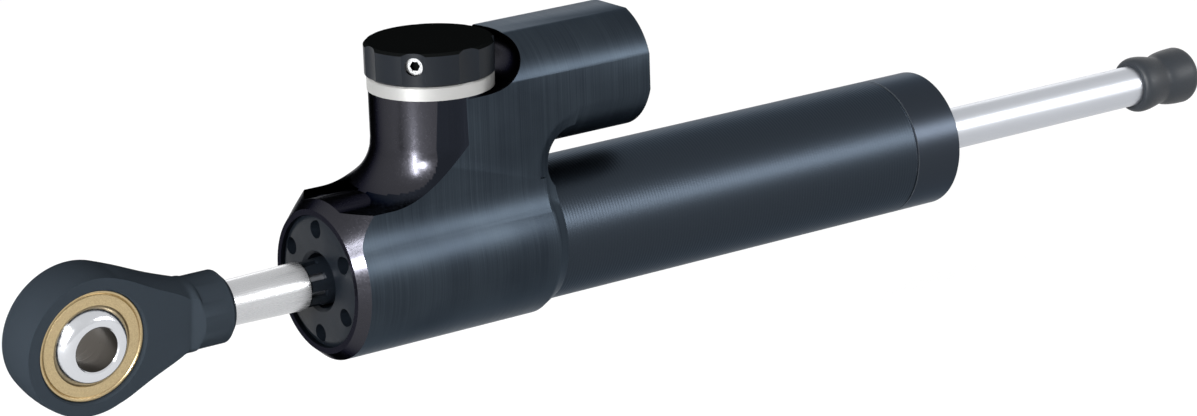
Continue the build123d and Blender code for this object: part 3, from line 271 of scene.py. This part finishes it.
# Milled, then anodised: a soft satin sheen, broken into faint upright lines.
MILLED = milled_anodised()
print("finish:", MILLED.name)

# %% [markdown]
# Turned parts of the housing
#
# The turret, its cove and the nose were turned on a lathe, so they are glossier than
# the milled sides. The rings that the tool leaves round the turret spread a highlight
# at right angles to them, into one upright streak. Real rings could be modelled, but
# they are far finer than a pixel. The shader's anisotropy gives the streak instead,
# with its direction taken round the Z axis.

# %% Turned parts of the housing
GRAZED_GLOSS = linear("#66676c")    # at a grazing angle the polished dye stays dark
STREAK_LINE = 0.6                   # width of the fine upright lines in the turret's streak
STREAK_REACH = 25                   # how far one such line runs
NOSE_GRAIN = 0.5


def turned_anodised():
    """Dark gloss with anisotropy about Z and a faint upright pattern."""
    material, tree, shader = finish_of("turned_anodised_aluminium", {
        "Base Color": linear("#20232a"), "Metallic": 1.0, "Specular Tint": GRAZED_GLOSS,
        "Anisotropic": 0.85, "Anisotropic Rotation": 0.25,
    })
    around = add(tree, "ShaderNodeTangent", {"direction_type": "RADIAL", "axis": "Z"})
    tree.links.new(around.outputs[0], shader.inputs["Tangent"])
    lines = grain_of(tree, (STREAK_LINE, STREAK_LINE, STREAK_REACH), CLOUDY)
    wear_in(tree, shader, lines, gloss=(0.16, 0.26), height=0.01)
    return material


# Turned, then anodised: nearly black, with one bright upright streak.
TURNED = turned_anodised()
# Finely turned: the same dye, a little lighter, with a short sharp highlight.
NOSE = grained("fine_turned_aluminium", {
    "Base Color": linear("#36363b"), "Metallic": 1.0, "Specular Tint": GRAZED_GLOSS,
}, size=(NOSE_GRAIN,) * 3, detail=CLOUDY, gloss=(0.2, 0.28), height=0.006)
print("finishes:", TURNED.name, NOSE.name)

# %% [markdown]
# Tube and rear cap
#
# The tube was turned with a steady feed, which leaves regular rings along X under its
# dye. Rings that regular are a wave and not a noise: bands across X, one ring for each
# step of the tool. The rear cap behind the seam was turned finer and shows none.

# %% Tube and rear cap
RING_PITCH = 0.8                # feed of the tool, coarser than real so that it shows
RING_HEIGHT = 0.03
RING_STRENGTH = 0.7
DYE_GRAIN = 0.3                 # of a smooth anodised face
ONE_BAND = 1 / 3.1831           # a Wave texture of scale 1 draws 3.18 bands to each unit


def ringed_tube():
    """Bands across X, one to each step of the tool, which tilt the surface."""
    material, tree, shader = finish_of("turned_tube_aluminium", {
        "Base Color": linear("#2b3138"), "Metallic": 1.0, "Roughness": 0.37,
        "Specular Tint": GRAZED_DYE,
    })
    place = add(tree, "ShaderNodeTexCoord").outputs["Object"]
    steps = add(tree, "ShaderNodeMapping", {}, {
        "Vector": place, "Scale": (1 / (RING_PITCH * MM),) * 3,
    })
    rings = add(
        tree, "ShaderNodeTexWave",
        {"wave_type": "BANDS", "bands_direction": "X", "wave_profile": "SIN"},
        {"Vector": steps.outputs[0], "Scale": ONE_BAND},
    )
    relief = add(tree, "ShaderNodeBump", {}, {
        "Height": rings.outputs["Fac"],
        "Distance": RING_HEIGHT * MM, "Strength": RING_STRENGTH,
    })
    tree.links.new(relief.outputs[0], shader.inputs["Normal"])
    return material


# Turned with a steady feed: a band of light along the tube, crossed by fine rings.
TUBE = ringed_tube()
# Turned smooth: the same band of light, unbroken.
CAP = grained("smooth_turned_aluminium", {
    "Base Color": linear("#2e333a"), "Metallic": 1.0, "Specular Tint": GRAZED_DYE,
}, size=(DYE_GRAIN,) * 3, detail=SANDY, gloss=(0.3, 0.36))
# Dye worn thin on a sharp edge, and a painted highlight: the pale line of a seam.
SEAM_WEAR_AND_HIGHLIGHT = grained("thin_dye_and_painted_highlight", {
    "Base Color": linear("#8a9199"), "Metallic": 1.0,
}, size=(DYE_GRAIN,) * 3, detail=CLOUDY, gloss=(0.4, 0.5))
print("finishes:", TUBE.name, CAP.name, SEAM_WEAR_AND_HIGHLIGHT.name)

# %% [markdown]
# Black parts
#
# Front cap, collar, plug and knob are anodised black. This dye is so dense that no
# metal shines through, so a dark body with a weak reflection comes closer than a
# metal would. The knob's top and the socket of its set screw get painted shade: a dead
# black with no reflection.

# %% Black parts
BLASTED_GRAIN = 0.2

# Anodised black: a deep blue-black that still shows the shape of the scallops.
BLACK = grained("black_anodised_aluminium", {
    "Base Color": linear("#0a0e13"), "Metallic": 0.0, "Specular IOR Level": 0.14,
}, size=(DYE_GRAIN,) * 3, detail=SANDY, gloss=(0.36, 0.46), height=0.006)
# Painted shade: dead black with no reflection from any side, for the knob's top and the set
# screw's socket.
PAINTED_SHADE_BLACK = grained("painted_shade_black", {
    "Base Color": linear("#080909"), "Metallic": 0.0, "Specular IOR Level": 0.0,
}, size=(BLASTED_GRAIN,) * 3, detail=SANDY, gloss=(0.7, 0.85))
print("finishes:", BLACK.name, PAINTED_SHADE_BLACK.name)

# %% [markdown]
# Rod and sleeve
#
# The rod is hard chrome, ground; the sleeve beside the eye is drawn steel. Metals take
# their look from what they reflect, so only the colour, the roughness and a trace of
# the tool's lines differ. The lines run along X: a pattern that changes fast across X
# and slowly along it.

# %% Rod and sleeve
LINE_REACH = 40                 # length of one line of the grinding wheel or the die
GROUND_LINE = 0.5
DRAWN_LINE = 0.35

# Ground hard chrome: a wide, soft band of light.
CHROME = grained("ground_hard_chrome", {
    "Base Color": linear("#b4b7bd"), "Metallic": 1.0,
}, size=(LINE_REACH, GROUND_LINE, GROUND_LINE), detail=SANDY, gloss=(0.3, 0.42), height=0.004)
# Drawn steel: brighter, with streaks along it.
SLEEVE = grained("drawn_steel", {
    "Base Color": linear("#b8b9bb"), "Metallic": 1.0,
}, size=(LINE_REACH, DRAWN_LINE, DRAWN_LINE), detail=SANDY, gloss=(0.2, 0.34), height=0.006,
    strength=GENTLE)
print("finishes:", CHROME.name, SLEEVE.name)

# %% [markdown]
# Ball, ring and set screw
#
# The ball is polished, and its bolt hole was reamed, which leaves it dull and ringed
# about the bolt; the hole is also painted darker, as painted shade inside it. The ring
# under the knob is clear-anodised, so it is paler and softer than bare metal, and
# counts as partly metal only. The set screw is stainless.

# %% Ball, ring and set screw
POLISH_CLOUD = 1.5              # size of the patches that the polishing wheel leaves
REAMED_RING = 0.5               # spacing of the reamer's rings, coarser than real
REAMED_REACH = 9
STEEL_GRAIN = 0.15

# Polished bearing steel: nearly a mirror.
BALL = grained("polished_bearing_steel", {
    "Base Color": linear("#c6c8cc"), "Metallic": 1.0,
}, size=(POLISH_CLOUD,) * 3, detail=SANDY, gloss=(0.1, 0.2))
# Reamed steel with painted shade: a darker brownish grey hole, standing in for the shade inside
# it, with rings round it.
REAMED_BORE_SHADE = grained("reamed_steel_painted_shade", {
    "Base Color": linear("#5d5954"), "Metallic": 1.0,
}, size=(REAMED_REACH, REAMED_RING, REAMED_REACH), detail=SANDY, gloss=(0.25, 0.4),
    height=0.01, strength=GENTLE)
# Clear-anodised aluminium: satin silver with a milky highlight.
SILVER = grained("satin_anodised_silver", {
    "Base Color": linear("#8c8c8b"), "Metallic": 0.6,
}, size=(BLASTED_GRAIN,) * 3, detail=CLOUDY, gloss=(0.35, 0.46))
# Stainless steel: a small bright ring round the dark socket.
STAINLESS = grained("stainless_steel", {
    "Base Color": linear("#8e8f90"), "Metallic": 1.0,
}, size=(STEEL_GRAIN,) * 3, detail=CLOUDY, gloss=(0.22, 0.36))
print("finishes:", BALL.name, REAMED_BORE_SHADE.name, SILVER.name, STAINLESS.name)

# %% [markdown]
# Brass race
#
# The race that holds the ball is turned brass, a little tarnished. Its colour varies
# from grain to grain, so here the pattern also mixes two brass tones.

# %% Brass race
BRASS_GRAIN = 0.25


def turned_brass():
    """Two brass tones, mixed by a fine grain that also sets gloss and relief."""
    material, tree, shader = finish_of("turned_brass", {"Metallic": 1.0})
    grain = grain_of(tree, (BRASS_GRAIN,) * 3, SANDY)
    share = add(tree, "ShaderNodeMapRange", {}, {
        "Value": grain, "From Min": PATTERN_LOW, "From Max": PATTERN_HIGH,
    })
    colour = add(tree, "ShaderNodeMix", {"data_type": "RGBA"}, {
        "Factor": share.outputs[0], "A": linear("#a08d6c"), "B": linear("#bcaa84"),
    })
    tree.links.new(colour.outputs["Result"], shader.inputs["Base Color"])
    wear_in(tree, shader, grain, gloss=(0.28, 0.42), height=0.005, strength=GENTLE)
    return material


# Turned brass: a greyish gold with a fine sparkle.
BRASS = turned_brass()
print("finish:", BRASS.name)

# %% [markdown]
# Coated eye and rubber bumper
#
# The forged eye has a thin matt coating, and the bumper is moulded rubber. Neither is
# metal to the eye: both are a dark body colour, the rubber under a soft, broad sheen.

# %% Coating and rubber
COATING_GRAIN = 0.35
MOULD_GRAIN = 0.4

# Thin coating on forged steel: an even blue-black that takes light softly.
COATING = grained("satin_coated_steel", {
    "Base Color": linear("#20252a"), "Metallic": 0.0, "Specular IOR Level": 0.0,
}, size=(COATING_GRAIN,) * 3, detail=GRITTY, gloss=(0.38, 0.48), height=0.006)
# Moulded rubber: blue-black with a dull sheen on its flare.
RUBBER = grained("moulded_rubber", {
    "Base Color": linear("#1a1e23"), "Metallic": 0.0, "Specular IOR Level": 0.3,
}, size=(MOULD_GRAIN,) * 3, detail=SANDY, gloss=(0.45, 0.58), height=0.008)
print("finishes:", COATING.name, RUBBER.name)

# %% [markdown]
# Smooth copies of the construction
#
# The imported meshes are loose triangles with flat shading. For pieces that are
# hardly seen that is enough with a good finish. A piece that catches the light could
# be modelled again, but its shape is right already. So it gets a copy with its corners
# merged, whose shading runs smoothly over its curves and breaks only at real edges.

# %% Merging
SAME_CORNER = 0.002 * MM        # corners nearer than this are one corner


def merged_mesh(name, source):
    """The source's triangles on shared corners: places are rounded, and equal ones merged."""
    count = len(source.vertices)
    places = np.empty(count * 3)
    source.vertices.foreach_get("co", places)
    places = places.reshape(count, 3)
    _, first, shared = np.unique(
        np.round(places / SAME_CORNER).astype(np.int64),
        axis=0, return_index=True, return_inverse=True,
    )
    loops = np.empty(len(source.loops), dtype=np.int64)
    source.loops.foreach_get("vertex_index", loops)
    faces = shared.reshape(-1)[loops].reshape(-1, 3)
    a, b, c = faces.T
    solid = (a != b) & (b != c) & (c != a)
    mesh = bpy.data.meshes.new(name)
    mesh.from_pydata(places[first].tolist(), [], faces[solid].tolist())
    return mesh


print("corners merge within", SAME_CORNER, "m")

# %% Copying
EDGE_ANGLE = 28 * DEG           # faces that meet at more than this keep a sharp edge
BODY_OF = {
    node: body
    for body, nodes in frame["record"]["behaviour"]["bodies"].items() for node in nodes
}
SLOT_OF = {part["node"]: part["material_slot"] for part in frame["record"]["subparts"]}


def smooth_copy(node, materials):
    """A merged, smooth-shaded copy of a node that stands in for it."""
    name = node + "_skin"
    mesh = merged_mesh(name, frame["nodes"][node].data)
    for material in materials:
        mesh.materials.append(material)
    mesh.polygons.foreach_set("use_smooth", np.ones(len(mesh.polygons), dtype=bool))
    mesh.set_sharp_from_angle(angle=EDGE_ANGLE)
    piece = bpy.data.objects.new(name, mesh)
    bpy.context.scene.collection.objects.link(piece)
    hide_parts(node)
    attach(piece, BODY_OF[node])
    return piece


print("pieces with a body:", len(BODY_OF))

# %% Smooth copies
COPIES = {
    "housing_block": [MILLED, TURNED, NOSE], "main_tube": [TUBE, SEAM_WEAR_AND_HIGHLIGHT],
    "rear_cap": [CAP, SEAM_WEAR_AND_HIGHLIGHT], "front_cap": [BLACK], "index_ring": [SILVER],
    "rod": [CHROME], "rod_sleeve": [SLEEVE], "slotted_collar": [BLACK],
    "rod_end_eye": [COATING], "bearing_race": [BRASS], "bearing_ball": [BALL, REAMED_BORE_SHADE],
    "rubber_bumper": [RUBBER], "knob": [BLACK, PAINTED_SHADE_BLACK],
    "knob_set_screw": [STAINLESS, PAINTED_SHADE_BLACK], "end_plug": [BLACK],
}
SKINS = {node: smooth_copy(node, materials) for node, materials in COPIES.items()}
for node, skin in SKINS.items():
    print(skin.name, len(skin.data.polygons), "triangles")

# %% [markdown]
# A second finish on part of a piece
#
# Several pieces are one solid with two finishes, because one tool made part of them
# and another tool the rest. They could be cut in two, but the real piece is whole.
# Instead each face is given a finish by where it lies and which way it looks: all
# centres and normals are read as arrays, and a test on them picks the faces.

# %% Faces as arrays


def face_data(skin):
    """Centres and normals of a skin's faces."""
    polygons = skin.data.polygons
    centres = np.empty(len(polygons) * 3)
    normals = np.empty(len(polygons) * 3)
    polygons.foreach_get("center", centres)
    polygons.foreach_get("normal", normals)
    return centres.reshape(-1, 3), normals.reshape(-1, 3)


def give_finish(skin, index):
    """Give each face the finish at this place of the skin's list, and count the changed ones."""
    skin.data.polygons.foreach_set("material_index", index.astype(np.int32))
    print(skin.name, "faces with another finish:", int((index > 0).sum()), "of", len(index))


print("skins to choose from:", len(SKINS))

# %% [markdown]
# The turret, its cove and the nose were turned, so their faces get the glossier
# finishes. A face is turned if its normal points to or from the turret's axis. The
# groove round the knob is part of a ring-shaped surface: a circle of one radius,
# carried round the turret's axis on a circle of another.

# %% Sizes of the housing
JOINT = {joint["name"]: joint for joint in frame["joints"]}
TURRET_X = JOINT["knob_turn"]["pos_m"][0]
ROOF_Z = 16.6 * MM              # flat top of the block, between nose and turret
BODY_R = 18 * MM                # round underside and the crown that shows above the roof
COVE_REACH = 30 * MM            # the cove ends nearer to the turret's axis than this
WEB_X = 112 * MM                # from here on the housing is milled
GROOVE_PATH_R = 14.3 * MM
GROOVE_PATH_Z = 43.4 * MM
GROOVE_R = 5.6 * MM
NOSE_END_X = 70 * MM
CLOSE = 0.1 * MM                # how near a face's centre has to be to its surface
print("turret axis at", TURRET_X, "roof at", ROOF_Z)

# %% Directions of the housing's faces
STRAIGHT = 0.9                  # cosine of 26 degrees, for a normal that looks one way
LEANING = 0.5                   # cosine of 60 degrees, for one that roughly does
RADIAL = 0.97                   # cosine of 14 degrees, for one to or from the turret's axis
FLAT_SIDE = 0.9995              # the milled sides look along Y more exactly than this
ON_AXIS = 1e-9                  # keeps a face on the axis from a division by zero
TURNED_FINISH, NOSE_FINISH = 1, 2
print("a face looks one way within", round(float(np.arccos(STRAIGHT) / DEG)), "degrees")

# %% Turned faces of the housing
centre, normal = face_data(SKINS["housing_block"])
x, y, z = centre.T
away = centre[:, :2] - np.array([TURRET_X, 0])
reach = np.linalg.norm(away, axis=1)
outward = np.abs(np.sum(away * normal[:, :2], axis=1)) / np.maximum(reach, ON_AXIS)
level = np.linalg.norm(normal[:, :2], axis=1)
about_turret = (outward > RADIAL * level) & (np.abs(normal[:, 1]) < FLAT_SIDE)
level_roof = (np.abs(z - ROOF_Z) < CLOSE) & (normal[:, 2] > STRAIGHT)
above_roof = z > ROOF_Z + CLOSE
sweep = about_turret & above_roof & (reach < COVE_REACH) & (x < WEB_X)
groove = np.abs(np.hypot(reach - GROOVE_PATH_R, z - GROOVE_PATH_Z) - GROOVE_R) < CLOSE
nose = normal[:, 0] < -LEANING
crown = above_roof & (x < NOSE_END_X) & (normal[:, 2] > STRAIGHT)
crown &= np.abs(np.hypot(y, z) - BODY_R) < CLOSE
finish = np.where(sweep | level_roof, TURNED_FINISH, 0)
finish[groove | nose | crown] = NOSE_FINISH
give_finish(SKINS["housing_block"], finish)

# %% [markdown]
# The ball's bolt hole was reamed, and it gets a darker finish that is partly painted
# shade. The eye is turned a little about the rod, so the hole doesn't run along Y, and
# its axis is read from the joint in which the ball turns.
# A face belongs to the hole if its normal points straight at that axis. A test on the
# distance from the axis would be shorter, but it would catch the ball's rim as well.

# %% Bore of the ball
bolt_axis = np.array(JOINT["ball_turn"]["axis"])
centre, normal = face_data(SKINS["bearing_ball"])
across = centre - np.outer(centre @ bolt_axis, bolt_axis)
shaded_bore_faces = np.sum(across * normal, axis=1) < -STRAIGHT * np.linalg.norm(across, axis=1)
# Painted shade: the bore's faces get the darker reamed finish.
give_finish(SKINS["bearing_ball"], shaded_bore_faces)

# %% [markdown]
# The set screw's hexagon socket looks like a dark hole in bright steel. Left as steel,
# its floor would mirror the white room and shine, so its walls and floor get painted
# shade: dead black. They are the faces that lie deeper than the screw's end and near its axis.

# %% Socket of the set screw
SOCKET_LIP = 0.02 * MM
SOCKET_REACH = 1.4 * MM
centre, normal = face_data(SKINS["knob_set_screw"])
arm = centre - np.array([TURRET_X, 0, (centre[:, 2].max() + centre[:, 2].min()) / 2])
lead = arm[:, :2].mean(axis=0)
lead /= np.linalg.norm(lead)
depth = arm[:, :2] @ lead
off_axis = np.hypot(arm[:, 0] * lead[1] - arm[:, 1] * lead[0], arm[:, 2])
# Painted shade: these socket faces get the dead-black finish.
socket = (depth < depth.max() - SOCKET_LIP) & (off_axis < SOCKET_REACH)
give_finish(SKINS["knob_set_screw"], socket)

# %% [markdown]
# The knob's top gets a dead-black finish with no reflection. This is painted shade for
# a top that the light doesn't reach, and the faces that look up pick it out from the
# turned side. Tube and rear cap meet in a seam. On the real one a thread of light runs
# along it, where the dye is thin on two sharp corners and they catch the light. So the
# narrow slanted faces beside the seam get a pale finish: thin dye, and a painted highlight.

# %% Top of the knob and edges of the seam
SEAM_X = 217.8 * MM
SEAM_HALF = 0.6 * MM
SEAM_BED_R = 14.5 * MM          # the seam's faces lie outside this radius
SEAM_LEAN = 0.3                 # cosine of 73 degrees, for the seam's slanted faces
centre, normal = face_data(SKINS["knob"])
# Painted shade: the knob's faces that look up get the dead-black finish with no reflection.
give_finish(SKINS["knob"], normal[:, 2] > LEANING)
for node in ("main_tube", "rear_cap"):
    centre, normal = face_data(SKINS[node])
    seam = np.abs(centre[:, 0] - SEAM_X) < SEAM_HALF
    seam &= np.hypot(centre[:, 1], centre[:, 2]) > SEAM_BED_R
    seam &= np.abs(normal[:, 0]) > SEAM_LEAN
    # The seam's slanted faces get the pale finish: thin dye, and a painted highlight.
    give_finish(SKINS[node], seam)

# %% [markdown]
# Pieces inside
#
# Seals, bushes, springs and the valve's parts are hidden, but an exploded view
# would show them, so each still gets the finish of its own material, or of the one
# that looks most like it: bronze-filled plastic passes for brass, and bare machined
# aluminium for the satin ring. They are never seen in the picture, so they keep their
# own meshes and need no smooth copies.

# %% Finishes for the inner pieces
INNER = {
    "seal_rubber": RUBBER, "ptfe": BRASS, "machined_aluminium": SILVER,
    "spring_steel": STAINLESS, "ground_steel": STAINLESS, "polished_steel": BALL,
    "brass": BRASS,
}
inner_nodes = [node for node in frame["nodes"] if node not in COPIES]
for node in inner_nodes:
    slots = frame["nodes"][node].data.materials
    slots.clear()
    slots.append(INNER[SLOT_OF[node]])
print("inner pieces:", len(inner_nodes))

# %% [markdown]
# Floor
#
# A product shot on white. A floor lit until it is white would flood the object, so
# most of the floor's white is a glow that only the camera, mirrors and glass see.
# The rest is a matt surface, which keeps the object's shadow.

# %% Rays that see white


def seen_directly(tree):
    """Socket that is 1 for rays from the camera, and for those that mirrors and glass send on."""
    ray = add(tree, "ShaderNodeLightPath")
    mirrored = add(tree, "ShaderNodeMath", {"operation": "MAXIMUM"}, {
        0: ray.outputs["Is Camera Ray"], 1: ray.outputs["Is Glossy Ray"],
    })
    passed_on = add(tree, "ShaderNodeMath", {"operation": "MAXIMUM"}, {
        0: mirrored.outputs[0], 1: ray.outputs["Is Transmission Ray"],
    })
    return passed_on.outputs[0]


print("white is seen by camera, mirror and glass rays")

# %% Floor finish
GLOW_SHARE = 0.8
GLOW_STRENGTH = 1.06


def pale_floor():
    """A matt white surface, mixed with a glow for the rays that see it directly."""
    material, tree, shader = finish_of("matt_white_floor", {
        "Base Color": linear("#f4f4f4"), "Roughness": 0.9,
    })
    share = add(tree, "ShaderNodeMath", {"operation": "MULTIPLY"}, {
        0: seen_directly(tree), 1: GLOW_SHARE,
    })
    glow = add(tree, "ShaderNodeEmission", {}, {
        "Color": (1, 1, 1, 1), "Strength": GLOW_STRENGTH,
    })
    mixed = add(tree, "ShaderNodeMixShader", {}, {
        0: share.outputs[0], 1: shader.outputs[0], 2: glow.outputs[0],
    })
    tree.links.new(mixed.outputs[0], tree.nodes["Material Output"].inputs["Surface"])
    return material


# Matt white paint: a floor that reads as plain white paper.
PAPER = pale_floor()
print("finish:", PAPER.name)

# %% Floor
FLOOR_DROP = 60 * MM            # the damper floats above the floor, so its shadow stays faint
FLOOR_HALF = 3.0
floor_z = cad_box[0][2] - FLOOR_DROP
floor_mesh = bpy.data.meshes.new("floor")
floor_mesh.from_pydata(
    [(side * FLOOR_HALF, end * FLOOR_HALF, floor_z)
     for side, end in ((-1, -1), (1, -1), (1, 1), (-1, 1))],
    [], [(0, 1, 2, 3)],
)
floor_mesh.materials.append(PAPER)
floor = bpy.data.objects.new("floor", floor_mesh)
bpy.context.scene.collection.objects.link(floor)
print("floor at", round(floor_z, 4))

# %% [markdown]
# Lamps and world
#
# Dark anodised metal shows little but reflections, so each lamp is placed for the
# highlight it makes: a tall narrow one for the streak on the turret, a small one for
# the nose's bevel, a wide one in front for the band along tube and barrel, and a weak
# one behind for the flats on top. The world adds a low even light, and white for
# whatever the metals mirror.

# %% Lamps
MIDDLE = Vector((0.14, 0.0, 0.01))      # the lamps face this point, in metres


def soft_lamp(name, place, size, watts):
    """A rectangular lamp that faces the damper's middle; its place and size are in metres."""
    data = bpy.data.lights.new(name, "AREA")
    data.shape = "RECTANGLE"
    data.size, data.size_y = size
    data.energy = watts
    lamp = bpy.data.objects.new(name, data)
    bpy.context.scene.collection.objects.link(lamp)
    lamp.location = place
    lamp.rotation_euler = (MIDDLE - Vector(place)).to_track_quat("-Z", "Y").to_euler()
    return lamp


LAMPS = [
    soft_lamp("strip", (-0.79, -0.347, 0.3), (0.05, 0.8), 17),
    soft_lamp("nose", (-0.69, -0.55, 0.36), (0.07, 0.07), 12),
    soft_lamp("front", (0.95, -0.95, 0.42), (0.8, 0.3), 12),
    soft_lamp("back", (0.82, 0.92, 0.37), (0.8, 0.3), 1),
]
print("lamps:", [lamp.name for lamp in LAMPS])

# %% World
WORLD_LIGHT = 0.4               # what the world adds to every surface
WORLD_WHITE = 1.0               # what the camera, mirrors and glass see of it
world = bpy.data.worlds.new("world")
bpy.context.scene.world = world
world.use_nodes = True
sky = world.node_tree
strength = add(sky, "ShaderNodeMapRange", {}, {
    "Value": seen_directly(sky), "To Min": WORLD_LIGHT, "To Max": WORLD_WHITE,
})
background = sky.nodes["Background"]
background.inputs["Color"].default_value = (1, 1, 1, 1)
sky.links.new(strength.outputs[0], background.inputs["Strength"])
bpy.context.scene.view_settings.view_transform = "Standard"
print("world light", WORLD_LIGHT, "and white", WORLD_WHITE)
